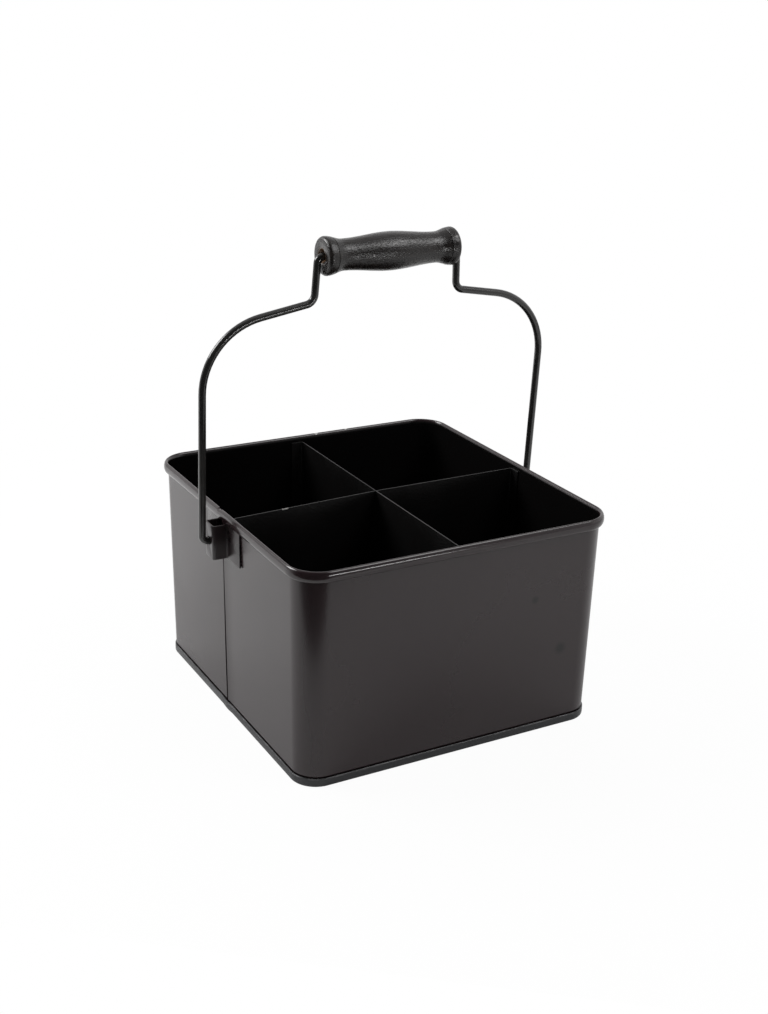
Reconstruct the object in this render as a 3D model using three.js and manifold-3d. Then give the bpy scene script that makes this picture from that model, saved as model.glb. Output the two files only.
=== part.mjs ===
// Four-compartment cutlery basket: a sheet-steel box with crossed dividers, two welded
// ears and a wire bail that carries a turned wooden grip.
// Millimetres, +Z up, origin on the ground under the middle of the base.
// X runs from ear to ear, -Y is the front.

import * as THREE from 'three';
import { mergeVertices } from 'three/addons/utils/BufferGeometryUtils.js';
import Module from 'manifold-3d';

const wasm = await Module();
wasm.setup();

// Body, measured over the outside of the wall at the rim; the wall leans in towards its foot
const bodyWidth = 201;
const bodyDepth = 210;
const bodyHeight = 133;
const cornerRadius = 17;
const wallDraft = 2.1;
const sheet = 0.6;

// Rim, rolled outward from the wall's top edge
const rimHeight = 6.6;
const rimProud = 2.6;
const rimCurlGap = 0.4;

// Lap seam in the left wall, next to the divider
const seamFromDivider = 1.2;
const seamToe = 1;
const seamGap = 0.4;
const seamLap = 8;
const seamBite = 0.1;

// Base pan, its hemmed edge crimped round the foot of the wall, which is necked in there and
// leaves a groove
const panHeight = 5.2;
const panHem = 1.1;
const footNeck = 0.5;
const neckStep = 0.4;
const grooveHeight = 1.2;
const panBend = 1;
const panInnerBend = 0.4;
const panGap = 0.25;

// Dividers, half-lapped where they cross; the left end stands clear of the wall's seam
const dividerDrop = 4;
const leftEndShift = 6;
const crossingBend = 10;
const dividerFlange = 8;
const dividerBend = 0.8;
const crossingClearance = 0.3;

// Pieces that stand on or against each other keep this distance
const seatGap = 0.2;

// Ears, hat-shaped brackets under the rim; the right one stands out less
const earSheet = 1;
const earHeight = 21;
const earWidth = 47;
const leftEarReach = 9.8;
const rightEarReach = 7.5;
const crownWidth = 12.3;
const earBend = 0.8;
const earBelowRim = 0.4;

// Bail wire: rises are measured from the pivot, and the bail has slid to the left in its ears
const wire = 4.4;
const pivotClearance = 0.4;
const headOverhang = 1;
const headThickness = 1.6;
const leftHeadGap = 0.4;
const rightHeadGap = 2;
const leftLegStandoff = 4.3;
const rightLegStandoff = 3;
const footBend = 3.5;
const shoulderRise = 137;
const shoulderSlope = 9.7;
const shoulderBend = 42;
const riserBend = 6;
const riserStandoff = 2.4;
const riserSplay = 1.4;
const gripBend = 4;
const gripRise = 163.3;
const restLean = 3.1;

// Grip, turned wood that spins on the wire
const gripLength = 86;
const gripSwell = 22.3;
const gripWaist = 18;
const gripFlare = 22.3;
const waistPlace = 30;
const gripEndRound = 2.2;
const boreClearance = 0.5;
const boreMouth = 8.6;
const boreMouthDepth = 3;

// How finely round shapes are cut
const bendStep = THREE.MathUtils.degToRad(11.25);
const straightEnough = THREE.MathUtils.degToRad(0.01);
const panBendSteps = 3;
const panCornerSteps = 8;
const wireSides = 12;
const holeSides = 24;
const gripSides = 24;
const gripStations = 6;

// Worked out from the sizes above
const wallFoot = sheet + seatGap;
const dividerTop = bodyHeight - dividerDrop;
const earTop = bodyHeight - rimHeight - earBelowRim;
const pivotHeight = earTop - earHeight / 2;
const pivotHole = wire + 2 * pivotClearance;
const neckTop = panHeight + grooveHeight;
const footInset = wallDraft + footNeck;
const footWidth = bodyWidth - 2 * footInset;
const footDepth = bodyDepth - 2 * footInset;
const footRadius = cornerRadius - footInset;
const riserTop = gripLength / 2 + riserStandoff;
const riserFoot = riserTop + riserSplay;

const blackPaint = new THREE.MeshStandardMaterial({ color: 0x2e2a2a, roughness: 0.42, metalness: 0.1 });
const basePaint = new THREE.MeshStandardMaterial({ color: 0x303234, roughness: 0.45, metalness: 0.1 });
const wirePaint = new THREE.MeshStandardMaterial({ color: 0x262625, roughness: 0.3, metalness: 0.2 });
const stainedWood = new THREE.MeshStandardMaterial({ color: 0x2b2625, roughness: 0.5, metalness: 0 });

// A path of straight runs joined by round bends, sampled only where it turns.
class BentPath extends THREE.Curve {
  constructor(corners) {
    super();
    this.stations = [corners[0].point];
    for (let i = 1; i < corners.length - 1; i += 1) {
      this.stations.push(...bendPoints(corners[i - 1], corners[i], corners[i + 1]));
    }
    this.stations.push(corners[corners.length - 1].point);
  }

  getPoint(t, target = new THREE.Vector3()) {
    const last = this.stations.length - 1;
    const run = Math.min(Math.floor(t * last), last - 1);
    return target.lerpVectors(this.stations[run], this.stations[run + 1], t * last - run);
  }

  getUtoTmapping(u) {
    return u;
  }
}

function corner(x, y, z, radius = 0) {
  return { point: new THREE.Vector3(x, y, z), radius };
}

// The part of a run that a bend may use, when the bend at the run's other end shares it.
function roomFor(bend, neighbour) {
  const share = bend.radius / (bend.radius + neighbour.radius);
  return share * bend.point.distanceTo(neighbour.point);
}

function bendPoints(before, bend, after) {
  const arrive = bend.point.clone().sub(before.point).normalize();
  const leave = after.point.clone().sub(bend.point).normalize();
  const turn = arrive.angleTo(leave);
  if (turn < straightEnough) {
    return [bend.point];
  }
  const wanted = bend.radius * Math.tan(turn / 2);
  const setback = Math.min(wanted, roomFor(bend, before), roomFor(bend, after));
  const radius = setback / Math.tan(turn / 2);
  const start = bend.point.clone().addScaledVector(arrive, -setback);
  const inward = leave.clone().addScaledVector(arrive, -arrive.dot(leave)).normalize();
  const count = Math.ceil(turn / bendStep);
  const points = [];
  for (let k = 0; k <= count; k += 1) {
    const angle = turn * k / count;
    const point = start.clone().addScaledVector(arrive, radius * Math.sin(angle));
    points.push(point.addScaledVector(inward, radius * (1 - Math.cos(angle))));
  }
  return points;
}

function sweep(shape, path) {
  return new THREE.ExtrudeGeometry(shape, { steps: path.stations.length - 1, extrudePath: path });
}

// A point of a section swept along a level path: out is to the right of the travel.
function sectionPoint(out, z) {
  return new THREE.Vector2(-z, -out);
}

// Flat sheet folded along upright bends, standing from one height to another.
function foldedSheet(corners, thickness, bottom, top) {
  const half = thickness / 2;
  const section = new THREE.Shape([
    sectionPoint(-half, bottom),
    sectionPoint(half, bottom),
    sectionPoint(half, top),
    sectionPoint(-half, top),
  ]);
  return sweep(section, new BentPath(corners));
}

// How far the wall has leaned in at a height.
function leanAt(z) {
  return wallDraft * (bodyHeight - z) / bodyHeight;
}

// Draws a piece that runs from wall to wall along X in with the lean of both walls.
function drawnIn(geometry, halfLength) {
  const place = geometry.attributes.position;
  for (let i = 0; i < place.count; i += 1) {
    place.setX(i, place.getX(i) * (1 - leanAt(place.getZ(i)) / halfLength));
  }
  return geometry;
}

function box(low, high) {
  const size = high.clone().sub(low);
  const middle = low.clone().add(high).multiplyScalar(0.5);
  return new THREE.BoxGeometry(size.x, size.y, size.z).translate(middle.x, middle.y, middle.z);
}

// A cylinder lying along X from one place to another.
function rodAlongX(radius, from, to, sides) {
  const geometry = new THREE.CylinderGeometry(radius, radius, Math.abs(to - from), sides);
  return geometry.rotateZ(Math.PI / 2).translate((from + to) / 2, 0, 0);
}

function roundedRectangle(width, depth, radius) {
  const x = width / 2 - radius;
  const y = depth / 2 - radius;
  const shape = new THREE.Shape();
  shape.absarc(x, y, radius, 0, Math.PI / 2);
  shape.absarc(-x, y, radius, Math.PI / 2, Math.PI);
  shape.absarc(-x, -y, radius, Math.PI, 1.5 * Math.PI);
  shape.absarc(x, -y, radius, 1.5 * Math.PI, 2 * Math.PI);
  return shape;
}

function toSolid(geometry) {
  const bare = geometry.clone();
  bare.deleteAttribute('normal');
  bare.deleteAttribute('uv');
  const merged = mergeVertices(bare);
  const vertProperties = new Float32Array(merged.attributes.position.array);
  const triVerts = new Uint32Array(merged.index.array);
  return new wasm.Manifold(new wasm.Mesh({ numProp: 3, vertProperties, triVerts }));
}

function toGeometry(solid) {
  const mesh = solid.getMesh();
  const geometry = new THREE.BufferGeometry();
  geometry.setAttribute('position', new THREE.BufferAttribute(mesh.vertProperties, 3));
  geometry.setIndex(new THREE.BufferAttribute(mesh.triVerts, 1));
  geometry.computeVertexNormals();
  return geometry;
}

function piece(name, geometry, material) {
  const mesh = new THREE.Mesh(geometry, material);
  mesh.name = name;
  return mesh;
}

// Points of an oval arc round a centre, from one angle to another in degrees.
function arc(centreOut, centreZ, halfWidth, halfHeight, from, to) {
  const sweepAngle = THREE.MathUtils.degToRad(to - from);
  const count = Math.ceil(Math.abs(sweepAngle) / (2 * bendStep));
  const points = [];
  for (let k = 0; k <= count; k += 1) {
    const angle = THREE.MathUtils.degToRad(from) + sweepAngle * k / count;
    const out = centreOut + halfWidth * Math.cos(angle);
    points.push(sectionPoint(out, centreZ + halfHeight * Math.sin(angle)));
  }
  return points;
}

// Section of the wall: up the inner face from its necked foot, over the oval roll of the rim,
// round its curl and back down.
function wallSection() {
  const halfWidth = (rimProud + sheet) / 2;
  const halfHeight = rimHeight / 2;
  const middle = rimProud - halfWidth;
  const level = bodyHeight - halfHeight;
  const reach = Math.min(1, (middle - rimCurlGap) / halfWidth);
  const curlEnd = -90 - THREE.MathUtils.radToDeg(Math.asin(reach));
  const footFace = -leanAt(wallFoot) - footNeck;
  const neckFace = -leanAt(neckTop);
  return new THREE.Shape([
    sectionPoint(footFace - sheet, wallFoot),
    sectionPoint(neckFace - footNeck - sheet, neckTop - neckStep),
    sectionPoint(neckFace - sheet, neckTop),
    ...arc(middle, level, halfWidth, halfHeight, 180, curlEnd),
    ...arc(middle, level, halfWidth - sheet, halfHeight - sheet, curlEnd, 180),
    sectionPoint(neckFace, neckTop),
    sectionPoint(neckFace - footNeck, neckTop - neckStep),
    sectionPoint(footFace, wallFoot),
  ]);
}

function makeWall() {
  const x = bodyWidth / 2;
  const y = bodyDepth / 2;
  const lapFront = sheet / 2 + seamFromDivider;
  const frontEdge = lapFront + seamToe;
  const backEdge = frontEdge + seamGap;
  const path = new BentPath([
    corner(-x, frontEdge, 0),
    corner(-x, -y, 0, cornerRadius),
    corner(x, -y, 0, cornerRadius),
    corner(x, y, 0, cornerRadius),
    corner(-x, y, 0, cornerRadius),
    corner(-x, backEdge, 0),
  ]);
  const wrap = toSolid(sweep(wallSection(), path));
  const lap = box(
    new THREE.Vector3(-x + sheet - seamBite, lapFront, wallFoot),
    new THREE.Vector3(-x + 2 * sheet, backEdge + seamLap, bodyHeight - rimHeight),
  );
  return piece('body_wall', toGeometry(wrap.add(toSolid(drawnIn(lap, x)))), blackPaint);
}

// A tray with a rounded lower edge, its top left open above the height that is kept.
function trayBlock(width, depth, radius, bottom, bend) {
  const inset = roundedRectangle(width - 2 * bend, depth - 2 * bend, radius - bend);
  const geometry = new THREE.ExtrudeGeometry(inset, {
    depth: 2 * panHeight,
    bevelSize: bend,
    bevelThickness: bend,
    bevelSegments: panBendSteps,
    curveSegments: panCornerSteps,
  });
  return toSolid(geometry.translate(0, 0, bottom + bend));
}

function makeBasePan() {
  const inside = 2 * panGap;
  const outside = inside + 2 * panHem;
  const outer = trayBlock(footWidth + outside, footDepth + outside, footRadius + outside / 2, 0, panBend);
  const inner = trayBlock(
    footWidth + inside,
    footDepth + inside,
    footRadius + inside / 2,
    sheet,
    panInnerBend,
  );
  const kept = toSolid(box(
    new THREE.Vector3(-bodyWidth, -bodyDepth, 0),
    new THREE.Vector3(bodyWidth, bodyDepth, panHeight),
  ));
  return piece('base_pan', toGeometry(outer.subtract(inner).intersect(kept)), basePaint);
}

// A divider along X with both end flanges turned to -Y, slotted halfway for the other one.
// Its left end can stand off the middle line, and it then bends a little at the crossing.
// Both ends are notched at the foot, where the wall is necked in.
function makeDivider(name, innerLength, endShift, slotFromTop) {
  const end = innerLength / 2 - seatGap - sheet / 2;
  const radius = dividerBend + sheet / 2;
  const folded = foldedSheet([
    corner(-end, -endShift - dividerFlange, 0),
    corner(-end, -endShift, 0, radius),
    corner(0, 0, 0, crossingBend),
    corner(end, 0, 0, radius),
    corner(end, -dividerFlange, 0),
  ], sheet, wallFoot, dividerTop);
  const web = toSolid(drawnIn(folded, end));
  const middle = (wallFoot + dividerTop) / 2;
  const halfSlot = sheet / 2 + crossingClearance;
  const slotBottom = slotFromTop ? middle - crossingClearance / 2 : 0;
  const slotTop = slotFromTop ? bodyHeight : middle + crossingClearance / 2;
  const slot = toSolid(box(
    new THREE.Vector3(-halfSlot, -halfSlot, slotBottom),
    new THREE.Vector3(halfSlot, halfSlot, slotTop),
  ));
  const notchReach = sheet + footNeck;
  let solid = web.subtract(slot);
  for (const side of [-1, 1]) {
    const notch = box(
      new THREE.Vector3(-notchReach, -bodyDepth, 0),
      new THREE.Vector3(notchReach, bodyDepth, neckTop + seatGap),
    ).translate(side * end, 0, 0);
    solid = solid.subtract(toSolid(drawnIn(notch, end)));
  }
  return piece(name, toGeometry(solid), blackPaint);
}

// An ear that stands out along +X from a wall at half the body's width.
function makeEar(name, reach) {
  const radius = earBend + earSheet / 2;
  const flangeX = bodyWidth / 2 + seatGap + earSheet / 2;
  const crownFace = bodyWidth / 2 + reach;
  const crownX = crownFace - earSheet / 2;
  const sideY = (crownWidth - earSheet) / 2;
  const hat = toSolid(foldedSheet([
    corner(flangeX, -earWidth / 2, 0),
    corner(flangeX, -sideY, 0, radius),
    corner(crownX, -sideY, 0, radius),
    corner(crownX, sideY, 0, radius),
    corner(flangeX, sideY, 0, radius),
    corner(flangeX, earWidth / 2, 0),
  ], earSheet, earTop - earHeight, earTop));
  const drill = rodAlongX(pivotHole / 2, crownFace - 2 * earSheet, crownFace + earSheet, holeSides);
  const hole = toSolid(drill.translate(0, 0, pivotHeight));
  return piece(name, toGeometry(hat.subtract(hole)), blackPaint);
}

// Corners of one half of the bail, from its head inside the ear to the top of its riser, and
// the face of that head.
function bailHalf(earReach, headGap, legStandoff) {
  const crownFace = bodyWidth / 2 + earReach;
  const headFace = crownFace - earSheet - headGap;
  const legPlace = crownFace + legStandoff;
  const shoulderDrop = Math.tan(THREE.MathUtils.degToRad(shoulderSlope)) * (legPlace - riserFoot);
  const corners = [
    corner(headFace - headThickness / 2, 0, 0),
    corner(legPlace, 0, 0, footBend),
    corner(legPlace, 0, shoulderRise - shoulderDrop, shoulderBend),
    corner(riserFoot, 0, shoulderRise, riserBend),
    corner(riserTop, 0, gripRise, gripBend),
  ];
  return { corners, headFace };
}

// The bail stands in the XZ plane with its pivot at the origin.
function makeBail() {
  const left = bailHalf(leftEarReach, leftHeadGap, leftLegStandoff);
  const right = bailHalf(rightEarReach, rightHeadGap, rightLegStandoff);
  const leftCorners = left.corners.map(({ point, radius }) => corner(-point.x, 0, point.z, radius));
  const section = new THREE.Shape().absarc(0, 0, wire / 2, 0, 2 * Math.PI);
  const points = section.getSpacedPoints(wireSides).slice(0, wireSides);
  const path = new BentPath([...right.corners, ...leftCorners.reverse()]);
  let solid = toSolid(sweep(new THREE.Shape(points), path));
  for (const [side, { headFace }] of [[-1, left], [1, right]]) {
    const head = rodAlongX(
      pivotHole / 2 + headOverhang,
      side * headFace,
      side * (headFace - headThickness),
      holeSides,
    );
    solid = solid.add(toSolid(head));
  }
  return piece('bail', toGeometry(solid), wirePaint);
}

function ease(from, to, share) {
  return from + (to - from) * (1 - Math.cos(Math.PI * share)) / 2;
}

// Outline of one half of the grip, from its middle to its end: radius, then place along it.
function gripHalfOutline() {
  const flarePlace = gripLength / 2 - gripEndRound;
  const points = [];
  for (let k = 0; k < gripStations; k += 1) {
    const share = k / gripStations;
    points.push([ease(gripSwell, gripWaist, share) / 2, waistPlace * share]);
  }
  for (let k = 0; k < gripStations; k += 1) {
    const share = k / gripStations;
    points.push([ease(gripWaist, gripFlare, share) / 2, waistPlace + (flarePlace - waistPlace) * share]);
  }
  for (let k = 0; k <= gripStations / 2; k += 1) {
    const angle = Math.PI * k / gripStations;
    const radius = gripFlare / 2 - gripEndRound * (1 - Math.cos(angle));
    points.push([radius, flarePlace + gripEndRound * Math.sin(angle)]);
  }
  points.push([boreMouth / 2, gripLength / 2]);
  points.push([wire / 2 + boreClearance, gripLength / 2 - boreMouthDepth]);
  return points;
}

function makeGrip() {
  const upper = gripHalfOutline();
  const lower = upper.slice(1).reverse().map(([radius, place]) => [radius, -place]);
  const loop = [...lower, ...upper, lower[0]].map(([radius, place]) => new THREE.Vector2(radius, place));
  const geometry = new THREE.LatheGeometry(loop, gripSides).rotateZ(Math.PI / 2);
  return piece('grip', toGeometry(toSolid(geometry)), stainedWood);
}

const basket = new THREE.Group();
basket.add(makeWall(), makeBasePan());

const innerWidth = bodyWidth - 2 * sheet;
const innerDepth = bodyDepth - 2 * sheet;
basket.add(makeDivider('divider_side_to_side', innerWidth, leftEndShift, false));
const frontToBack = makeDivider('divider_front_to_back', innerDepth, 0, true);
frontToBack.rotation.z = -Math.PI / 2;
basket.add(frontToBack);

const leftEar = makeEar('left_ear', leftEarReach);
leftEar.rotation.z = Math.PI;
basket.add(leftEar, makeEar('right_ear', rightEarReach));

// The bail and its grip lean a little to the front, as they stand at rest.
const handle = new THREE.Group();
handle.position.z = pivotHeight;
handle.rotation.x = THREE.MathUtils.degToRad(restLean);
const grip = makeGrip();
grip.position.z = gripRise;
handle.add(makeBail(), grip);
basket.add(handle);

export default basket;
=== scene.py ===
import math

import bmesh
import bpy
from mathutils import Matrix, Vector


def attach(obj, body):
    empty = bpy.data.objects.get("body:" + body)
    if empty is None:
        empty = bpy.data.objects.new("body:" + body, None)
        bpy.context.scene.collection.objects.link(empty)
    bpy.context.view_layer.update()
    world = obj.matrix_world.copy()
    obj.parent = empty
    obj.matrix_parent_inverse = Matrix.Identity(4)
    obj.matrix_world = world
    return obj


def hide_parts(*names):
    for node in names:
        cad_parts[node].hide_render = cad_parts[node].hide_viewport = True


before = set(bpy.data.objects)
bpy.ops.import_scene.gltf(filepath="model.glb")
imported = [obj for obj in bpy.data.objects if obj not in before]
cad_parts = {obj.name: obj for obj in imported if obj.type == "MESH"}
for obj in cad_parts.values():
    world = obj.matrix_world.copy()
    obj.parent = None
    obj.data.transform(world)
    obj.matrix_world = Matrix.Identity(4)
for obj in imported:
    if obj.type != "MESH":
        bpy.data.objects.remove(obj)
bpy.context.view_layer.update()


# Base pan
# A shallow pan pressed from thin steel sheet, painted a cooler black than the wall. Its edge
# is turned up and hemmed, and crimped round the foot of the wall, where it shows as a low band.
pan_width = 0.1985
pan_depth = 0.2075
pan_height = 0.0052
pan_corner = 0.01575
pan_corner_steps = 14
pan_fold = 0.001
pan_fold_steps = 5
pan_floor = 0.0006
pan_hem = 0.0011
pan_lip = 0.0004
pan_lip_steps = 3
pan_smooth_angle = 40
seam_line = 0.0027
pan_bump = 0.0004
pan_bump_flat = 0.002
pan_bump_reach = 0.007
same_place = 1e-5
facing_up = 0.9
sharp_angle = 50
pan_colour = (0.0165, 0.0170, 0.0190, 1.0)
pan_worn_colour = (0.110, 0.109, 0.112, 1.0)
# Painted shade for the pan's floor inside the basket, darker than its paint.
pan_inside_shade_colour = (0.0065, 0.0062, 0.0062, 1.0)
pan_inside_shade_levels = (0.001, 0.003)
scuff_scale = 120.0
scuff_levels = (0.42, 0.66)
lip_wear = 0.7
lip_wear_levels = (pan_height - 0.0008, pan_height - 0.0002)
heel_wear = 0.35
heel_wear_levels = (0.0003, 0.0012)
pan_cloud_scale = 30.0
pan_roughness = (0.28, 0.38)
pan_peel_bump = 0.05
pan_peel_height = 0.0004
cloud_levels = (0.3, 0.7)


def begin_shaping(name):
    """Names the new primitive, puts its place in its mesh and opens it for shaping."""
    piece = bpy.context.object
    piece.name = name
    piece.data.name = name
    bpy.ops.object.transform_apply(location=True, rotation=True, scale=True)
    bpy.ops.object.mode_set(mode="EDIT")
    bpy.ops.mesh.select_mode(type="VERT")
    return piece


def pick_points(piece, wanted):
    bpy.ops.mesh.select_mode(type="VERT")
    bpy.ops.mesh.select_all(action="DESELECT")
    net = bmesh.from_edit_mesh(piece.data)
    for point in net.verts:
        if wanted(point.co):
            point.select_set(True)
    net.select_flush(True)
    bmesh.update_edit_mesh(piece.data)


def pick_edges(piece, wanted):
    bpy.ops.mesh.select_mode(type="EDGE")
    bpy.ops.mesh.select_all(action="DESELECT")
    net = bmesh.from_edit_mesh(piece.data)
    for edge in net.edges:
        if wanted(edge.verts[0].co, edge.verts[1].co):
            edge.select_set(True)
    bmesh.update_edit_mesh(piece.data)


def pick_faces(piece, wanted):
    bpy.ops.mesh.select_mode(type="FACE")
    bpy.ops.mesh.select_all(action="DESELECT")
    net = bmesh.from_edit_mesh(piece.data)
    for face in net.faces:
        if wanted(face.calc_center_median(), face.normal):
            face.select_set(True)
    bmesh.update_edit_mesh(piece.data)


def extrude_by(step):
    bpy.ops.mesh.extrude_region_move(TRANSFORM_OT_translate={"value": tuple(step)})


def is_upright(a, b):
    return (a.xy - b.xy).length < same_place


def cut_across(place, normal):
    """Cuts the whole open mesh along a plane and keeps both sides."""
    bpy.ops.mesh.select_all(action="SELECT")
    bpy.ops.mesh.bisect(plane_co=place, plane_no=normal)


def thicken(piece, thickness, side):
    bpy.ops.object.mode_set(mode="OBJECT")
    solid = piece.modifiers.new("sheet thickness", "SOLIDIFY")
    solid.thickness = thickness
    solid.offset = side
    solid.use_even_offset = True
    bpy.ops.object.modifier_apply(modifier=solid.name)


def ease_edges(piece, width, steps):
    bpy.ops.object.mode_set(mode="OBJECT")
    bevel = piece.modifiers.new("eased edges", "BEVEL")
    bevel.width = width
    bevel.segments = steps
    bevel.limit_method = "ANGLE"
    bevel.angle_limit = math.radians(sharp_angle)
    bevel.use_clamp_overlap = True
    bpy.ops.object.modifier_apply(modifier=bevel.name)


def close_shaping(piece, smooth_angle):
    bpy.ops.object.mode_set(mode="OBJECT")
    bpy.ops.object.select_all(action="DESELECT")
    piece.select_set(True)
    bpy.context.view_layer.objects.active = piece
    bpy.ops.object.shade_smooth_by_angle(angle=math.radians(smooth_angle))


def add_node(tree, kind, inputs=None, **settings):
    made = tree.nodes.new(kind)
    for key, value in settings.items():
        setattr(made, key, value)
    for key, value in (inputs or {}).items():
        if isinstance(value, bpy.types.NodeSocket):
            tree.links.new(value, made.inputs[key])
        else:
            made.inputs[key].default_value = value
    return made


def math_node(tree, operation, first, second=0.0, third=0.0, clamp=False):
    inputs = {0: first, 1: second, 2: third}
    return add_node(tree, "ShaderNodeMath", inputs, operation=operation, use_clamp=clamp).outputs[0]


def dot_product(tree, first, second):
    made = add_node(tree, "ShaderNodeVectorMath", {0: first, 1: second}, operation="DOT_PRODUCT")
    return made.outputs["Value"]


def smooth_range(tree, value, low, high, to_low=0.0, to_high=1.0):
    """Eases a value from one range to another and holds it at the ends."""
    inputs = {"Value": value, "From Min": low, "From Max": high, "To Min": to_low, "To Max": to_high}
    made = add_node(tree, "ShaderNodeMapRange", inputs, interpolation_type="SMOOTHSTEP")
    return made.outputs["Result"]


def noise(tree, place, scale, detail, roughness=0.5):
    inputs = {"Vector": place, "Scale": scale, "Detail": detail, "Roughness": roughness}
    return add_node(tree, "ShaderNodeTexNoise", inputs).outputs["Fac"]


def mix_colours(tree, share, first, second):
    made = add_node(tree, "ShaderNodeMix", {"Factor": share}, data_type="RGBA")
    for socket, colour in ((made.inputs[6], first), (made.inputs[7], second)):
        if isinstance(colour, bpy.types.NodeSocket):
            tree.links.new(colour, socket)
        else:
            socket.default_value = colour
    return made.outputs[2]


def object_place(tree):
    return add_node(tree, "ShaderNodeTexCoord").outputs["Object"]


def object_facing(tree):
    return add_node(tree, "ShaderNodeTexCoord").outputs["Normal"]


def height_of(tree, place):
    return add_node(tree, "ShaderNodeSeparateXYZ", {0: place}).outputs["Z"]


def new_group(name, inputs, outputs):
    """A shader node group with number sockets: inputs carry their usual values."""
    group = bpy.data.node_groups.new(name, "ShaderNodeTree")
    for socket, value in inputs.items():
        made = group.interface.new_socket(socket, in_out="INPUT", socket_type="NodeSocketFloat")
        made.default_value = value
    for socket in outputs:
        group.interface.new_socket(socket, in_out="OUTPUT", socket_type="NodeSocketFloat")
    return group, group.nodes.new("NodeGroupInput"), group.nodes.new("NodeGroupOutput")


def make_sprayed_paint():
    """Sprayed paint: slow clouds of thickness and a fine orange peel."""
    group, given, result = new_group(
        "sprayed_paint", {"Cloud Scale": 14.0, "Peel Scale": 900.0}, ["Cloud", "Peel"],
    )
    place = object_place(group)
    cloud = noise(group, place, given.outputs["Cloud Scale"], detail=4.0, roughness=0.55)
    peel = noise(group, place, given.outputs["Peel Scale"], detail=2.0, roughness=0.4)
    group.links.new(cloud, result.inputs["Cloud"])
    group.links.new(peel, result.inputs["Peel"])
    return group


sprayed_paint = make_sprayed_paint()


def new_material(name):
    material = bpy.data.materials.new(name)
    material.use_nodes = True
    tree = material.node_tree
    return material, tree, tree.nodes["Principled BSDF"]


def place_group(tree, group, values):
    return add_node(tree, "ShaderNodeGroup", values, node_tree=group).outputs


def rough_and_bump(tree, shader, roughness, height, strength, distance):
    tree.links.new(roughness, shader.inputs["Roughness"])
    bump = add_node(tree, "ShaderNodeBump", {"Height": height, "Strength": strength, "Distance": distance})
    tree.links.new(bump.outputs["Normal"], shader.inputs["Normal"])


bpy.ops.object.select_all(action="DESELECT")
bpy.ops.mesh.primitive_cube_add(
    size=1, location=(0, 0, pan_height / 2), scale=(pan_width, pan_depth, pan_height),
)
pan = begin_shaping("crimped_base")
pick_edges(pan, is_upright)
bpy.ops.mesh.bevel(offset=pan_corner, segments=pan_corner_steps, affect="EDGES")
pick_edges(pan, lambda a, b: a.z < same_place and b.z < same_place)
bpy.ops.mesh.bevel(offset=pan_fold, segments=pan_fold_steps, affect="EDGES")
pick_faces(pan, lambda middle, normal: normal.z > facing_up)
bpy.ops.mesh.inset(thickness=pan_hem, use_even_offset=True)
extrude_by((0, 0, pan_floor - pan_height))
for reach in (-pan_bump_reach, -pan_bump_flat, pan_bump_flat, pan_bump_reach):
    cut_across((0, seam_line + reach, 0), (0, 1, 0))
band_inside = pan_hem - pan_width / 2 + same_place
bump_edge = pan_bump_flat + same_place
pick_points(pan, lambda p: p.x < band_inside and abs(p.y - seam_line) < bump_edge)
bpy.ops.transform.translate(value=(-pan_bump, 0, 0))
ease_edges(pan, pan_lip, pan_lip_steps)
close_shaping(pan, pan_smooth_angle)

pan_paint, tree, shader = new_material("base_band_paint")
paint = place_group(tree, sprayed_paint, {"Cloud Scale": pan_cloud_scale})
place = object_place(tree)
z = height_of(tree, place)
scuffs = smooth_range(tree, noise(tree, place, scuff_scale, detail=4.0), *scuff_levels)
lip = smooth_range(tree, z, *lip_wear_levels, 0.0, lip_wear)
heel = smooth_range(tree, z, *heel_wear_levels, heel_wear, 0.0)
worn = math_node(tree, "MULTIPLY", scuffs, math_node(tree, "MAXIMUM", lip, heel))
# The pan's floor inside the basket is coloured darker than the rest: painted shade of the deep inside.
faces_up = dot_product(tree, object_facing(tree), (0, 0, 1))
low_down = smooth_range(tree, z, *pan_inside_shade_levels, 1.0, 0.0)
inside = math_node(tree, "MULTIPLY", faces_up, low_down, clamp=True)
colour = mix_colours(tree, worn, pan_colour, pan_worn_colour)
colour = mix_colours(tree, inside, colour, pan_inside_shade_colour)
tree.links.new(colour, shader.inputs["Base Color"])
roughness = smooth_range(tree, paint["Cloud"], *cloud_levels, *pan_roughness)
rough_and_bump(tree, shader, roughness, paint["Peel"], pan_peel_bump, pan_peel_height)
pan.data.materials.append(pan_paint)

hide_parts("base_pan")
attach(pan, "basket")


# Body wall
# One thin steel sheet wrapped into a rounded square and painted a warm satin black. Its ends
# are lapped at the middle of the left side, and its top edge is rolled outward into the rim.
half_width = 0.1005
half_depth = 0.105
wall_height = 0.133
wall_corner = 0.017
wall_draft = 0.0021
wall_sheet = 0.0006
wall_foot = 0.0008
wall_smooth_angle = 35
foot_neck = 0.0009
neck_step = 0.0004
neck_top = 0.0068
rim_height = 0.0066
rim_proud = 0.0026
rim_curl = math.radians(292)
rim_curl_step = math.radians(12)
rim_nest = 0.00045
front_edge = 0.0022
back_edge = 0.0037
rim_joint = 0.0050
rim_gap = 0.00005
nest_end = -0.008
seam_spread = 0.0018
edge_lift = 0.00025
edge_lift_reach = 0.002
tongue_depth = 0.0013
tongue_slant = 0.0002
tongue_reach = 0.008
left_side = -half_width + 0.003
bend_step = math.radians(6)
start_size = 0.001
wall_colour = (0.0188, 0.0112, 0.0126, 1.0)
wall_thin_colour = (0.0212, 0.0132, 0.0144, 1.0)
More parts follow.
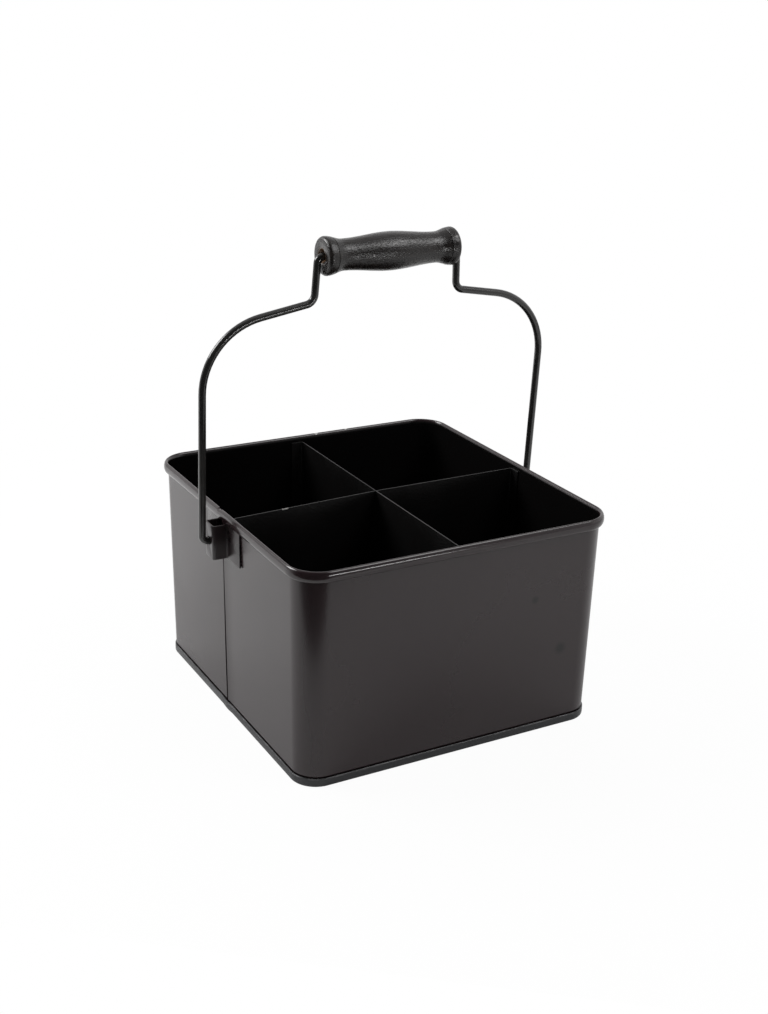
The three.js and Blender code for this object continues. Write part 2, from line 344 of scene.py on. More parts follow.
# Painted shade for the wall's inside faces.
wall_inside_shade_colour = (0.0034, 0.0031, 0.0031, 1.0)
stain_colour = (0.0012, 0.0010, 0.0010, 1.0)
bare_steel_colour = (0.38, 0.37, 0.36, 1.0)
rim_knocks = [((0.0111, 0.1060, wall_height), 0.0022), ((0.0336, 0.1060, wall_height), 0.0017)]
wall_stains = [((0.0709, -half_depth, 0.0525), 0.0052), ((0.0501, -half_depth, 0.0883), 0.0034)]
spot_core = 0.3
chip_levels = (0.90, 0.98)
chip_raggedness = 0.8
inward_levels = (-0.06, -0.02)
inside_top_levels = (0.1308, 0.1322)
thin_levels = (0.35, 0.65)
wall_cloud_scale = 11.0
smudge_scale = 6.0
wall_roughness = (0.21, 0.30)
less_rough = -0.07
rolled_levels = (0.1254, 0.1274)
dent_scale = 9.0
dent_height = 2.0
peel_share = 0.003
wall_bump = 0.25
wall_bump_height = 0.0012


def spin_round(centre, axis, angle, step=bend_step):
    """Carries the selection round an axis, the way a right-handed screw turns."""
    count = max(2, math.ceil(angle / step))
    turned = tuple(-part for part in axis)
    bpy.ops.mesh.spin(steps=count, angle=angle, center=tuple(centre), axis=turned)


def one_point(name, place):
    """Starts a piece from a single point, to draw a section from."""
    bpy.ops.object.select_all(action="DESELECT")
    bpy.ops.mesh.primitive_plane_add(size=start_size, location=place)
    piece = begin_shaping(name)
    bpy.ops.mesh.merge(type="CENTER")
    return piece


def carry_along(corners, step=bend_step):
    """Carries the selection along straight runs with a round bend at each corner between them."""
    here = Vector(corners[0][0])
    for (before, _), (corner, radius), (after, _) in zip(corners, corners[1:], corners[2:]):
        arrive = (Vector(corner) - Vector(before)).normalized()
        leave = (Vector(after) - Vector(corner)).normalized()
        turn = arrive.angle(leave)
        setback = radius * math.tan(turn / 2)
        start = Vector(corner) - arrive * setback
        extrude_by(start - here)
        inward = (leave - arrive * arrive.dot(leave)).normalized()
        spin_round(start + inward * radius, arrive.cross(leave).normalized(), turn, step)
        here = Vector(corner) + leave * setback
    extrude_by(Vector(corners[-1][0]) - here)


def face_outward():
    """Turns all faces of the open mesh to its outside."""
    bpy.ops.mesh.select_all(action="SELECT")
    bpy.ops.mesh.normals_make_consistent(inside=False)


def lean_at(z):
    """How far the wall stands in from its top at a height."""
    return wall_draft * (wall_height - z) / wall_height


roll_half_width = (rim_proud + wall_sheet) / 2
roll_half_height = rim_height / 2
roll_middle = -half_width - rim_proud + roll_half_width
roll_level = wall_height - roll_half_height
roll_centre = (roll_middle, front_edge, roll_level)
lap_top = wall_height - rim_height
inner_face = -half_width + wall_sheet
wall_line = [
    (inner_face + lean_at(wall_foot) + foot_neck, wall_foot),
    (inner_face + lean_at(neck_top) + foot_neck, neck_top - neck_step),
    (inner_face + lean_at(neck_top), neck_top),
    (inner_face + lean_at(lap_top), lap_top),
    (inner_face, roll_level),
]


def is_on_roll(p):
    return math.hypot(p.x - roll_middle, p.z - roll_level) < roll_half_width + same_place


def is_at_seam(p, y):
    """Whether a point is on the left side, at a place across the seam."""
    return p.x < left_side and abs(p.y - y) < same_place


def is_nested(p):
    """Whether a point is on the upper half of the rim's lapped end."""
    across = front_edge - same_place < p.y < rim_joint - same_place
    return p.x < left_side and across and p.z > roll_level - same_place


wall = one_point("rolled_wall", (wall_line[0][0], front_edge, wall_foot))
for below, above in zip(wall_line, wall_line[1:]):
    extrude_by((above[0] - below[0], 0, above[1] - below[1]))
spin_round(roll_centre, (0, -1, 0), rim_curl, rim_curl_step)
pick_points(wall, is_on_roll)
bpy.ops.transform.resize(value=(1, 1, roll_half_height / roll_half_width), center_override=roll_centre)
bpy.ops.mesh.select_all(action="SELECT")
extrude_by((0, -edge_lift_reach, 0))
extrude_by((0, nest_end - front_edge + edge_lift_reach, 0))
carry_along([
    ((-half_width, nest_end, 0), 0),
    ((-half_width, -half_depth, 0), wall_corner),
    ((half_width, -half_depth, 0), wall_corner),
    ((half_width, half_depth, 0), wall_corner),
    ((-half_width, half_depth, 0), wall_corner),
    ((-half_width, rim_joint, 0), 0),
])
pick_points(wall, lambda p: is_at_seam(p, rim_joint) and p.z < lap_top + same_place)
extrude_by((0, back_edge - rim_joint, 0))
pick_points(wall, lambda p: is_at_seam(p, front_edge) and p.z > lap_top - same_place)
extrude_by((0, rim_joint - front_edge - rim_gap, 0))
pick_points(wall, is_nested)
bpy.ops.transform.translate(value=(-rim_nest / 2, 0, -rim_nest))
pick_points(wall, lambda p: is_at_seam(p, back_edge) and p.z < neck_top + same_place)
bpy.ops.transform.translate(value=(0, seam_spread, 0))
pick_points(wall, lambda p: is_at_seam(p, front_edge) and abs(p.z - neck_top) < same_place)
bpy.ops.transform.translate(value=(-edge_lift, 0, 0))
pick_points(wall, lambda p: is_at_seam(p, front_edge) and p.z < lap_top + same_place)
extrude_by((tongue_depth, tongue_slant, 0))
extrude_by((0, tongue_reach, 0))
face_outward()
thicken(wall, wall_sheet, -1)
close_shaping(wall, wall_smooth_angle)


def make_chipped_paint():
    """Paint knocked off: turns a soft spot into a ragged chip."""
    group, given, result = new_group("chipped_paint", {"Spot": 0.0, "Chip Scale": 700.0}, ["Chip"])
    place = object_place(group)
    ragged = noise(group, place, given.outputs["Chip Scale"], detail=3.0, roughness=0.6)
    level = math_node(group, "MULTIPLY_ADD", ragged, chip_raggedness, given.outputs["Spot"])
    group.links.new(smooth_range(group, level, *chip_levels), result.inputs["Chip"])
    return group


chipped_paint = make_chipped_paint()


def round_spot(tree, place, centre, radius):
    """A soft round spot on the surface, 1 at its middle."""
    away = add_node(tree, "ShaderNodeVectorMath", {0: place, 1: centre}, operation="DISTANCE")
    return smooth_range(tree, away.outputs["Value"], radius * spot_core, radius, 1.0, 0.0)


def any_spot(tree, place, spots):
    """The soft round spots of a list, each a middle and a radius, as one mask."""
    mask = 0.0
    for centre, radius in spots:
        mask = math_node(tree, "MAXIMUM", mask, round_spot(tree, place, centre, radius))
    return mask


wall_paint, tree, shader = new_material("wall_paint")
paint = place_group(tree, sprayed_paint, {"Cloud Scale": wall_cloud_scale})
place = object_place(tree)
z = height_of(tree, place)
chip = place_group(tree, chipped_paint, {"Spot": any_spot(tree, place, rim_knocks)})["Chip"]
# Faces turned inward, below the top of the rim, are coloured near-black: painted shade of the basket's
# inside.
outward = dot_product(tree, object_facing(tree), place)
inside = smooth_range(tree, outward, *inward_levels, 1.0, 0.0)
inside = math_node(tree, "MULTIPLY", inside, smooth_range(tree, z, *inside_top_levels, 1.0, 0.0))
thin = smooth_range(tree, paint["Cloud"], *thin_levels)
colour = mix_colours(tree, thin, wall_colour, wall_thin_colour)
colour = mix_colours(tree, any_spot(tree, place, wall_stains), colour, stain_colour)
colour = mix_colours(tree, inside, colour, wall_inside_shade_colour)
colour = mix_colours(tree, chip, colour, bare_steel_colour)
tree.links.new(colour, shader.inputs["Base Color"])
smudge = noise(tree, place, smudge_scale, detail=6.0, roughness=0.6)
roughness = smooth_range(tree, smudge, *cloud_levels, *wall_roughness)
smoother = math_node(tree, "MAXIMUM", inside, smooth_range(tree, z, *rolled_levels))
roughness = math_node(tree, "MULTIPLY_ADD", smoother, less_rough, roughness)
peel = math_node(tree, "MULTIPLY", paint["Peel"], peel_share)
dents = noise(tree, place, dent_scale, detail=1.0)
height = math_node(tree, "MULTIPLY_ADD", dents, dent_height, peel)
rough_and_bump(tree, shader, roughness, height, wall_bump, wall_bump_height)
wall.data.materials.append(wall_paint)

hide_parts("body_wall")
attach(wall, "basket")


# Dividers
# Two thin steel sheets, half-lapped where they cross, with an end flange bent at each end
# and spot-welded to the wall. Painted black, darkened further as painted shade of the basket's
# inside; their top edges are lighter grey, partly a painted highlight and partly rubbed paint.
divider_sheet = 0.0006
divider_top = 0.129
divider_foot = 0.0008
divider_fold = 0.0011
fold_steps = 5
divider_ease = 0.0002
divider_ease_steps = 2
divider_smooth_angle = 35
flange = 0.008
slot_half = 0.0006
slot_half_way = (divider_foot + divider_top) / 2
side_end = 0.0994
depth_end = 0.1039
left_end_shift = 0.006
foot_notch = 0.0011
notch_top = 0.0070
# Painted shade: the dividers stand inside the basket and are coloured darker than the wall's paint.
divider_shade_colour = (0.0032, 0.0030, 0.0030, 1.0)
# Lighter grey for the top edges: partly a painted highlight, partly rubbed paint.
divider_edge_wear_and_highlight_colour = (0.017, 0.016, 0.016, 1.0)
edge_knocks = [((-0.0632, -0.0038, divider_top), 0.0034)]
top_edge_levels = (divider_top - 0.0003, divider_top - 0.00005)
knock_levels = (divider_top - 0.0009, divider_top - 0.0005)
edge_patchiness_levels = (0.30, 0.62)
faintest_edge_share = 0.35
weld_mark = (-0.0040, depth_end, 0.1165)
weld_radius = 0.0022
weld_depth = -1.5
divider_cloud_scale = 16.0
divider_roughness = (0.20, 0.28)
edge_roughness = 0.35
divider_bump = 0.12
divider_bump_height = 0.0006


def fold_strip(name, points, low, high):
    """Draws a line on the ground plan and raises it to a folded strip with sharp folds."""
    piece = one_point(name, (points[0][0], points[0][1], low))
    for before, after in zip(points, points[1:]):
        extrude_by((after[0] - before[0], after[1] - before[1], 0))
    bpy.ops.mesh.select_all(action="SELECT")
    extrude_by((0, 0, high - low))
    return piece


def round_folds(piece, folds, radius):
    """Rounds the upright folds that stand on the given ground plan points."""
    def is_fold(a, b):
        return is_upright(a, b) and any((a.xy - Vector(fold)).length < same_place for fold in folds)
    pick_edges(piece, is_fold)
    bpy.ops.mesh.bevel(offset=radius, segments=fold_steps, affect="EDGES")


def draw_in(piece, along, end):
    """Draws both ends in towards the foot, as the walls lean."""
    for level in (divider_foot, divider_top):
        share = 1 - lean_at(level) / end
        scale = tuple(share if part else 1 for part in along)
        pick_points(piece, lambda p: abs(p.z - level) < same_place)
        bpy.ops.transform.resize(value=scale, center_override=(0, 0, 0))


def cut_half_slot(piece, along, from_top):
    """Opens the slot that lets the other divider through, from the top or from the foot."""
    cut_across(tuple(-slot_half * part for part in along), along)
    cut_across(tuple(slot_half * part for part in along), along)
    cut_across((0, 0, slot_half_way), (0, 0, 1))
    side = 1 if from_top else -1
    way = Vector(along)
    pick_faces(piece, lambda middle, normal: (
        abs(way.dot(middle)) < slot_half and side * (middle.z - slot_half_way) > 0
    ))
    bpy.ops.mesh.delete(type="FACE")


def notch_foot(piece, along, end):
    """Cuts both ends away at the foot, where the wall is necked in."""
    reach = end - lean_at(divider_foot) - foot_notch
    way = Vector(along)
    cut_across((0, 0, notch_top), (0, 0, 1))
    for side in (-1, 1):
        cut_across(tuple(side * reach * way), along)
    pick_faces(piece, lambda middle, normal: middle.z < notch_top and abs(way.dot(middle)) > reach)
    bpy.ops.mesh.delete(type="FACE")


def fold_divider(name, plan, folds, along, end, slot_from_top):
    divider = fold_strip(name, plan, divider_foot, divider_top)
    round_folds(divider, folds, divider_fold)
    draw_in(divider, along, end)
    cut_half_slot(divider, along, slot_from_top)
    notch_foot(divider, along, end)
    thicken(divider, divider_sheet, 0)
    ease_edges(divider, divider_ease, divider_ease_steps)
    close_shaping(divider, divider_smooth_angle)
    return divider


side_plan = [
    (-side_end, -left_end_shift - flange),
    (-side_end, -left_end_shift),
    (0, 0),
    (side_end, 0),
    (side_end, -flange),
]
side_folds = [side_plan[1], side_plan[3]]
side_divider = fold_divider("side_to_side_sheet", side_plan, side_folds, (1, 0, 0), side_end, False)

depth_plan = [
    (-flange, depth_end),
    (0, depth_end),
    (0, -depth_end),
    (-flange, -depth_end),
]
depth_folds = [depth_plan[1], depth_plan[2]]
depth_divider = fold_divider("front_to_back_sheet", depth_plan, depth_folds, (0, 1, 0), depth_end, True)

divider_paint, tree, shader = new_material("divider_paint")
paint = place_group(tree, sprayed_paint, {"Cloud Scale": divider_cloud_scale})
place = object_place(tree)
z = height_of(tree, place)
top_edge = smooth_range(tree, z, *top_edge_levels)
near_top = smooth_range(tree, z, *knock_levels)
knock = math_node(tree, "MULTIPLY", any_spot(tree, place, edge_knocks), near_top)
chip = place_group(tree, chipped_paint, {"Spot": knock})["Chip"]
# The top edges are coloured lighter, partly a painted highlight where light falls on them and partly
# rubbed paint, patchy along their length.
edge_patchiness = smooth_range(tree, paint["Cloud"], *edge_patchiness_levels, faintest_edge_share, 1.0)
edge_wear_and_highlight = math_node(tree, "MULTIPLY", top_edge, edge_patchiness)
colour = mix_colours(tree, edge_wear_and_highlight, divider_shade_colour, divider_edge_wear_and_highlight_colour)
colour = mix_colours(tree, chip, colour, bare_steel_colour)
tree.links.new(colour, shader.inputs["Base Color"])
roughness = smooth_range(tree, paint["Cloud"], *cloud_levels, *divider_roughness)
roughness = math_node(tree, "MULTIPLY_ADD", top_edge, edge_roughness, roughness)
weld = round_spot(tree, place, weld_mark, weld_radius)
height = math_node(tree, "MULTIPLY_ADD", weld, weld_depth, paint["Peel"])
rough_and_bump(tree, shader, roughness, height, divider_bump, divider_bump_height)
for divider, node in ((side_divider, "divider_side_to_side"), (depth_divider, "divider_front_to_back")):
    divider.data.materials.append(divider_paint)
    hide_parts(node)
    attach(divider, "basket")


# Ears
# Two hat-shaped brackets folded from slightly thicker strip steel, welded flat under the rim.
# A hole through the crown of each carries an end of the bail.
ear_sheet = 0.001
ear_height = 0.021
ear_top = 0.126
ear_width = 0.047
ear_fold = 0.0013
ear_ease = 0.00015
ear_ease_steps = 2
ear_smooth_angle = 40
ear_flange_face = 0.1009
left_crown_face = 0.1098
right_crown_face = 0.1075
ear_side = 0.00565
pivot_height = ear_top - ear_height / 2
pivot_hole = 0.0052
hole_sides = 40
drill_length = 0.006
ear_colour = (0.0110, 0.0098, 0.0096, 1.0)
ear_cloud_scale = 40.0
ear_peel_scale = 1300.0
ear_roughness = (0.22, 0.32)
ear_peel_bump = 0.06
ear_peel_height = 0.0004

ear_paint, tree, shader = new_material("ear_paint")
paint = place_group(tree, sprayed_paint, {"Cloud Scale": ear_cloud_scale, "Peel Scale": ear_peel_scale})
thin = smooth_range(tree, paint["Cloud"], *thin_levels)
tree.links.new(mix_colours(tree, thin, ear_colour, wall_colour), shader.inputs["Base Color"])
roughness = smooth_range(tree, paint["Cloud"], *cloud_levels, *ear_roughness)
rough_and_bump(tree, shader, roughness, paint["Peel"], ear_peel_bump, ear_peel_height)

for side, ear_crown_face, name, node in (
    (-1, left_crown_face, "left_hat_bracket", "left_ear"),
    (1, right_crown_face, "right_hat_bracket", "right_ear"),
):
    ear_plan = [
        (side * ear_flange_face, -ear_width / 2),
        (side * ear_flange_face, -ear_side),
        (side * ear_crown_face, -ear_side),
        (side * ear_crown_face, ear_side),
        (side * ear_flange_face, ear_side),
        (side * ear_flange_face, ear_width / 2),
    ]
    ear = fold_strip(name, ear_plan, ear_top - ear_height, ear_top)
    round_folds(ear, ear_plan[1:-1], ear_fold)
    face_outward()
    thicken(ear, ear_sheet, 0)
    bpy.ops.object.select_all(action="DESELECT")
    bpy.ops.mesh.primitive_cylinder_add(
        vertices=hole_sides, radius=pivot_hole / 2, depth=drill_length,
        location=(side * ear_crown_face, 0, pivot_height), rotation=(0, math.pi / 2, 0),
    )
    drill = bpy.context.object
    bpy.ops.object.transform_apply(location=True, rotation=True, scale=True)
    bpy.context.view_layer.objects.active = ear
    hole = ear.modifiers.new("pivot hole", "BOOLEAN")
    hole.object = drill
    hole.solver = "EXACT"
    bpy.ops.object.modifier_apply(modifier=hole.name)
    bpy.data.objects.remove(drill)
    ease_edges(ear, ear_ease, ear_ease_steps)
    close_shaping(ear, ear_smooth_angle)
    ear.data.materials.append(ear_paint)
    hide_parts(node)
    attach(ear, "basket")


# Bail
# One length of steel wire, over 4 mm thick, bent cold and painted glossy black. Each end passes
# out through an ear and is headed inside it, and the top run carries the grip.
wire_radius = 0.0022
wire_sides = 24
wire_bend_step = math.radians(5)
wire_smooth_angle = 35
left_head_face = 0.1089
right_head_face = 0.1050
head_radius = 0.0036
head_thickness = 0.0016
head_straight = 0.7
head_end = 0.8
left_leg = 0.1146
right_leg = 0.1110
foot_bend = 0.0035
shoulder_rise = 0.137
shoulder_slope = math.radians(9.7)
shoulder_bend = 0.042
riser_foot = 0.0468
riser_top = 0.0454
riser_bend = 0.006
grip_bend = 0.004
grip_rise = 0.1633
rest_lean = math.radians(3.1)
merge_distance = 1e-7
wire_colour = (0.0165, 0.0162, 0.0158, 1.0)
wire_thin_colour = (0.0250, 0.0240, 0.0228, 1.0)
wire_cloud_scale = 60.0
wire_peel_scale = 500.0
wire_roughness = (0.10, 0.17)
wire_peel_bump = 0.05
wire_peel_height = 0.0005
wire_gloss = 0.60


def bail_half(side, head_face, leg):
    """Corners of one half of the wire, from its head to the grip, each with the radius of its bend."""
    shoulder_corner = shoulder_rise - math.tan(shoulder_slope) * (leg - riser_foot)
    return [
        ((side * head_face, 0, pivot_height), 0),
        ((side * leg, 0, pivot_height), foot_bend),
        ((side * leg, 0, pivot_height + shoulder_corner), shoulder_bend),
        ((side * riser_foot, 0, pivot_height + shoulder_rise), riser_bend),
        ((side * riser_top, 0, pivot_height + grip_rise), grip_bend),
    ]


def is_at_end(p, end):
    """Whether a point is on the ring of the wire's end at a place along the pivot line."""
    return abs(p.x - end) < same_place and abs(p.z - pivot_height) < head_radius


def merge_points():
    """Joins points of the open mesh that lie on each other."""
    bpy.ops.mesh.select_all(action="SELECT")
    bpy.ops.mesh.remove_doubles(threshold=merge_distance)


left_half = bail_half(-1, left_head_face, left_leg)
right_half = bail_half(1, right_head_face, right_leg)

bpy.ops.object.select_all(action="DESELECT")
bpy.ops.mesh.primitive_circle_add(
    vertices=wire_sides, radius=wire_radius, fill_type="NOTHING",
    location=(-left_head_face, 0, pivot_height), rotation=(0, math.pi / 2, 0),
)
bail = begin_shaping("bent_wire")
bpy.ops.mesh.select_all(action="SELECT")
carry_along(left_half + right_half[::-1], wire_bend_step)
for side, head_face in ((-1, left_head_face), (1, right_head_face)):
    grown = head_radius / wire_radius
    head_middle = (side * head_face, 0, pivot_height)
    pick_points(bail, lambda p: is_at_end(p, side * head_face))
    extrude_by((0, 0, 0))
    bpy.ops.transform.resize(value=(1, grown, grown), center_override=head_middle)
    extrude_by((-side * head_thickness * head_straight, 0, 0))
    extrude_by((-side * head_thickness * (1 - head_straight), 0, 0))
    bpy.ops.transform.resize(value=(1, head_end, head_end), center_override=head_middle)
    bpy.ops.mesh.edge_face_add()
merge_points()
face_outward()
bpy.ops.mesh.select_all(action="SELECT")
bpy.ops.transform.rotate(value=-rest_lean, orient_axis="X", center_override=(0, 0, pivot_height))
close_shaping(bail, wire_smooth_angle)

bail_paint, tree, shader = new_material("wire_paint")
paint = place_group(tree, sprayed_paint, {"Cloud Scale": wire_cloud_scale, "Peel Scale": wire_peel_scale})
thin = smooth_range(tree, paint["Cloud"], *thin_levels)
tree.links.new(mix_colours(tree, thin, wire_colour, wire_thin_colour), shader.inputs["Base Color"])
roughness = smooth_range(tree, paint["Cloud"], *cloud_levels, *wire_roughness)
rough_and_bump(tree, shader, roughness, paint["Peel"], wire_peel_bump, wire_peel_height)
shader.inputs["Specular IOR Level"].default_value = wire_gloss
bail.data.materials.append(bail_paint)

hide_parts("bail")
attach(bail, "bail")


# Grip
# A hardwood handle turned on a lathe: a swelling between two waists, flared ends and a bored
# hole for the wire, stained black and varnished. It is loose on the wire and spins.
grip_length = 0.086
grip_swell = 0.0223
grip_waist = 0.018
grip_flare = 0.0223
waist_place = 0.030
outline_steps = 10
collar_step = 6
collar_groove = 0.0004
collar_groove_width = 0.00048
collar_lip = 0.0002
grip_end_round = 0.0022
end_round_steps = 6
bore_radius = 0.0027
bore_mouth = 0.0043
bore_mouth_edge = 0.0005
bore_mouth_edge_depth = 0.0004
bore_mouth_depth = 0.003
grip_sides = 64
grip_smooth_angle = 40
grip_colour = (0.0120, 0.0098, 0.0095, 1.0)
grip_pale_colour = (0.0220, 0.0180, 0.0165, 1.0)
pore_colour = (0.0080, 0.0064, 0.0060, 1.0)
raw_wood_colour = (0.110, 0.062, 0.034, 1.0)
pore_stretch = (0.50, 1.0, 1.0)
pore_scale = 1000.0
pore_levels = (0.42, 0.62)
pore_roughness = 0.10
pore_depth = -0.6
streak_stretch = (0.05, 1.0, 1.0)
streak_scale = 420.0
streak_levels = (0.35, 0.68)
streak_height = 0.6
raw_wood_reach = (0.0040, 0.0056)
varnish_roughness = (0.24, 0.15)
varnish_gloss = 0.46
grain_bump = 0.24
grain_height = 0.0004


def ease(start, end, share):
    return start + (end - start) * (1 - math.cos(math.pi * share)) / 2


def grip_outline():
    """Radius and place of the turned outline, from the middle of the grip to one end."""
    flare_place = grip_length / 2 - grip_end_round
    outline = []
    for step in range(outline_steps):
        share = step / outline_steps
        outline.append((ease(grip_swell, grip_waist, share) / 2, waist_place * share))
    for step in range(outline_steps):
        share = step / outline_steps
        reach = (flare_place - waist_place) * share
        outline.append((ease(grip_waist, grip_flare, share) / 2, waist_place + reach))
        if step == collar_step:
            radius, place = outline[-1]
            outline.append((radius - collar_groove, place + collar_groove_width / 2))
            outline.append((radius + collar_lip, place + collar_groove_width))
    for step in range(end_round_steps + 1):
        angle = math.pi / 2 * step / end_round_steps
        radius = grip_flare / 2 - grip_end_round * (1 - math.cos(angle))
        outline.append((radius, flare_place + grip_end_round * math.sin(angle)))
    outline.append((bore_mouth + bore_mouth_edge, grip_length / 2))
    outline.append((bore_mouth, grip_length / 2 - bore_mouth_edge_depth))
    outline.append((bore_radius, grip_length / 2 - bore_mouth_depth))
    return outline


def stretched_noise(tree, place, stretch, scale, detail):
    stretched = add_node(tree, "ShaderNodeMapping", {"Vector": place, "Scale": stretch}).outputs[0]
    return noise(tree, stretched, scale, detail, roughness=0.6)


grip_axis = Vector((0, -math.sin(rest_lean) * grip_rise, pivot_height + math.cos(rest_lean) * grip_rise))
one_end = grip_outline()
other_end = [(radius, -place) for radius, place in reversed(one_end[1:])]
whole_outline = other_end + one_end
first_radius, first_place = whole_outline[0]
grip = one_point("turned_grip", grip_axis + Vector((first_place, 0, first_radius)))
for before, after in zip(whole_outline, whole_outline[1:] + whole_outline[:1]):
    extrude_by((after[1] - before[1], 0, after[0] - before[0]))
merge_points()
bpy.ops.mesh.select_all(action="SELECT")
bpy.ops.mesh.spin(steps=grip_sides, angle=2 * math.pi, center=tuple(grip_axis), axis=(1, 0, 0))
merge_points()
face_outward()
close_shaping(grip, grip_smooth_angle)

grip_finish, tree, shader = new_material("stained_grip")
place = object_place(tree)
centred = add_node(tree, "ShaderNodeMapping", {"Vector": place, "Location": tuple(-grip_axis)}).outputs[0]
pore_noise = stretched_noise(tree, centred, pore_stretch, pore_scale, detail=3.0)
pores = smooth_range(tree, pore_noise, *pore_levels)
streak_noise = stretched_noise(tree, centred, streak_stretch, streak_scale, detail=4.0)
streaks = smooth_range(tree, streak_noise, *streak_levels)
across = add_node(tree, "ShaderNodeVectorMath", {0: centred, 1: (0, 1, 1)}, operation="MULTIPLY")
from_axis = add_node(tree, "ShaderNodeVectorMath", {0: across.outputs[0]}, operation="LENGTH")
bare = smooth_range(tree, from_axis.outputs["Value"], *raw_wood_reach, 1.0, 0.0)
colour = mix_colours(tree, streaks, grip_colour, grip_pale_colour)
colour = mix_colours(tree, pores, colour, pore_colour)
colour = mix_colours(tree, bare, colour, raw_wood_colour)
tree.links.new(colour, shader.inputs["Base Color"])
varnish = smooth_range(tree, streaks, 0.0, 1.0, *varnish_roughness)
roughness = math_node(tree, "MULTIPLY_ADD", pores, pore_roughness, varnish)
raised = math_node(tree, "MULTIPLY", streaks, streak_height)
height = math_node(tree, "MULTIPLY_ADD", pores, pore_depth, raised)
rough_and_bump(tree, shader, roughness, height, grain_bump, grain_height)
shader.inputs["Specular IOR Level"].default_value = varnish_gloss
grip.data.materials.append(grip_finish)

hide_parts("grip")
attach(grip, "grip")


# Floor
# A plain white studio floor that ends a little in front of the basket, its front edge turned
# a little past the camera. It shows white to the camera and keeps a soft trace of the shadow.
floor_size = 8.0
floor_front = 0.285
floor_turn = -0.66
floor_colour = (0.80, 0.80, 0.80, 1.0)
floor_roughness = 0.9
floor_white_near = 0.965
floor_white_reach = (0.25, 0.55)
floor_white_in_gloss = 0.22


def ray_kinds(tree):
    """Marks the rays from the camera, and those that a glossy surface mirrors."""
    rays = add_node(tree, "ShaderNodeLightPath").outputs
    mirrored = math_node(tree, "MAXIMUM", rays["Is Glossy Ray"], rays["Is Transmission Ray"])
    return rays["Is Camera Ray"], mirrored


bpy.ops.object.select_all(action="DESELECT")
frontward = Vector((math.sin(floor_turn), -math.cos(floor_turn), 0))
bpy.ops.mesh.primitive_plane_add(
    size=floor_size, location=frontward * (floor_front - floor_size / 2), rotation=(0, 0, floor_turn),
)
floor = bpy.context.object
floor.name = "studio_floor"
bpy.ops.object.transform_apply(location=True, rotation=True, scale=True)
floor_finish, tree, shader = new_material("studio_floor_paper")
shader.inputs["Base Color"].default_value = floor_colour
shader.inputs["Roughness"].default_value = floor_roughness
shader.inputs["Specular IOR Level"].default_value = 0.0
seen, mirrored = ray_kinds(tree)
glow = add_node(tree, "ShaderNodeEmission", {"Color": (1, 1, 1, 1), "Strength": 1.0})
away = add_node(tree, "ShaderNodeVectorMath", {0: object_place(tree)}, operation="LENGTH")
white_seen = smooth_range(tree, away.outputs["Value"], *floor_white_reach, floor_white_near, 1.0)
share = math_node(tree, "MULTIPLY", mirrored, floor_white_in_gloss)
share = math_node(tree, "MULTIPLY_ADD", seen, white_seen, share)
blend = add_node(tree, "ShaderNodeMixShader", {0: share, 1: shader.outputs[0], 2: glow.outputs[0]})
tree.links.new(blend.outputs[0], tree.nodes["Material Output"].inputs["Surface"])
floor.data.materials.append(floor_finish)


# Light
# Soft studio light: a white room, dark on the camera's side and dimmer overhead. A very large
# lamp at the back, which isn't mirrored, and one at the left light the floor that the walls
# mirror. Two small ones in front make the sheen on the grip and the wire.
room_light = 0.18
dark_side = 0.05
dark_side_reach = (0.0, 0.6)
dark_ceiling = 0.60
dark_ceiling_reach = (0.35, 0.8)

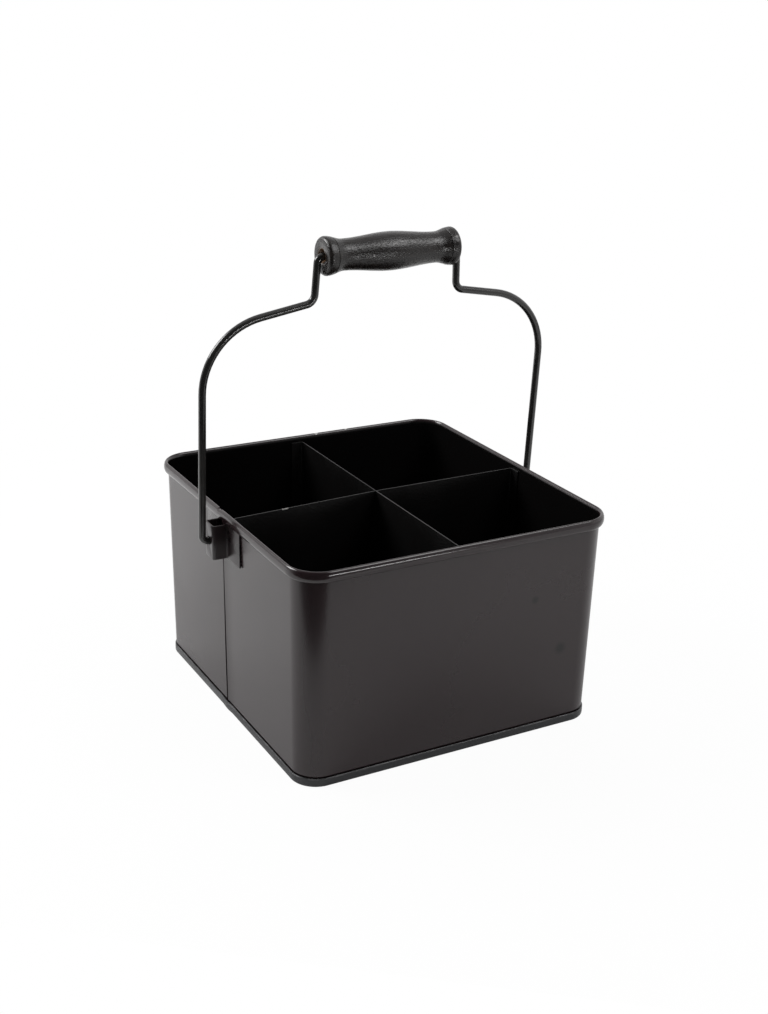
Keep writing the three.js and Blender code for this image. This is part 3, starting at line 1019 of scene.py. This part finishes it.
world = bpy.data.worlds.new("white_room")
bpy.context.scene.world = world
world.use_nodes = True
tree = world.node_tree
back = tree.nodes["Background"]
back.inputs["Color"].default_value = (1, 1, 1, 1)
seen, mirrored = ray_kinds(tree)
way = add_node(tree, "ShaderNodeTexCoord").outputs["Generated"]
to_front = dot_product(tree, way, tuple(frontward))
side_light = smooth_range(tree, to_front, *dark_side_reach, 1.0, dark_side)
overhead_light = smooth_range(tree, height_of(tree, way), *dark_ceiling_reach, 1.0, dark_ceiling)
room_in_gloss = math_node(tree, "MULTIPLY", side_light, overhead_light)
added_in_gloss = math_node(tree, "SUBTRACT", room_in_gloss, room_light)
strength = math_node(tree, "MULTIPLY_ADD", mirrored, added_in_gloss, room_light)
strength = math_node(tree, "MAXIMUM", strength, seen)
tree.links.new(strength, back.inputs["Strength"])

for name, place, target, size, power, is_mirrored in (
    ("back_lamp", (0.40, 1.45, 1.50), (0, 0, 0.1), (2.4, 2.4), 36, False),
    ("left_lamp", (-1.10, 0.90, 1.10), (-0.3, 0.3, 0.0), (0.8, 0.8), 24, True),
    ("front_right_lamp", (0.53, -0.55, 1.08), (0, 0, 0.27), (0.6, 0.5), 5.0, True),
    ("low_front_strip", (0.24, -0.92, 0.09), (0, 0, 0.28), (0.34, 0.035), 1.1, True),
):
    bpy.ops.object.light_add(type="AREA", location=place)
    lamp = bpy.context.object
    lamp.name = name
    lamp.data.shape = "RECTANGLE"
    lamp.data.size = size[0]
    lamp.data.size_y = size[1]
    lamp.data.energy = power
    aim = Vector(target) - Vector(place)
    lamp.rotation_euler = aim.to_track_quat("-Z", "Y").to_euler()
    lamp.visible_glossy = is_mirrored
bpy.context.scene.view_settings.view_transform = "Standard"


# Camera
# Where the photograph was taken from: in front and to the left of the basket, looking down
# on it, and rolled very slightly.
camera_turn = -0.511
camera_rise = 0.368
camera_roll = 0.026
camera_distance = 0.8993
camera_aim = Vector((0.00604, 0.0, 0.1172))
camera_lens = 51.55
camera_sensor = 36.0

backward = Vector((
    math.sin(camera_turn) * math.cos(camera_rise),
    -math.cos(camera_turn) * math.cos(camera_rise),
    math.sin(camera_rise),
))
rightward = (-backward).cross(Vector((0, 0, 1))).normalized()
upward = rightward.cross(-backward)
rolled_right = math.cos(camera_roll) * rightward + math.sin(camera_roll) * upward
rolled_up = -math.sin(camera_roll) * rightward + math.cos(camera_roll) * upward
bpy.ops.object.camera_add()
camera = bpy.context.object
camera.name = "photograph_camera"
camera.data.lens = camera_lens
camera.data.sensor_width = camera_sensor
pose = Matrix((rolled_right, rolled_up, backward)).transposed().to_4x4()
pose.translation = camera_aim + backward * camera_distance
camera.matrix_world = pose
bpy.context.scene.camera = camera
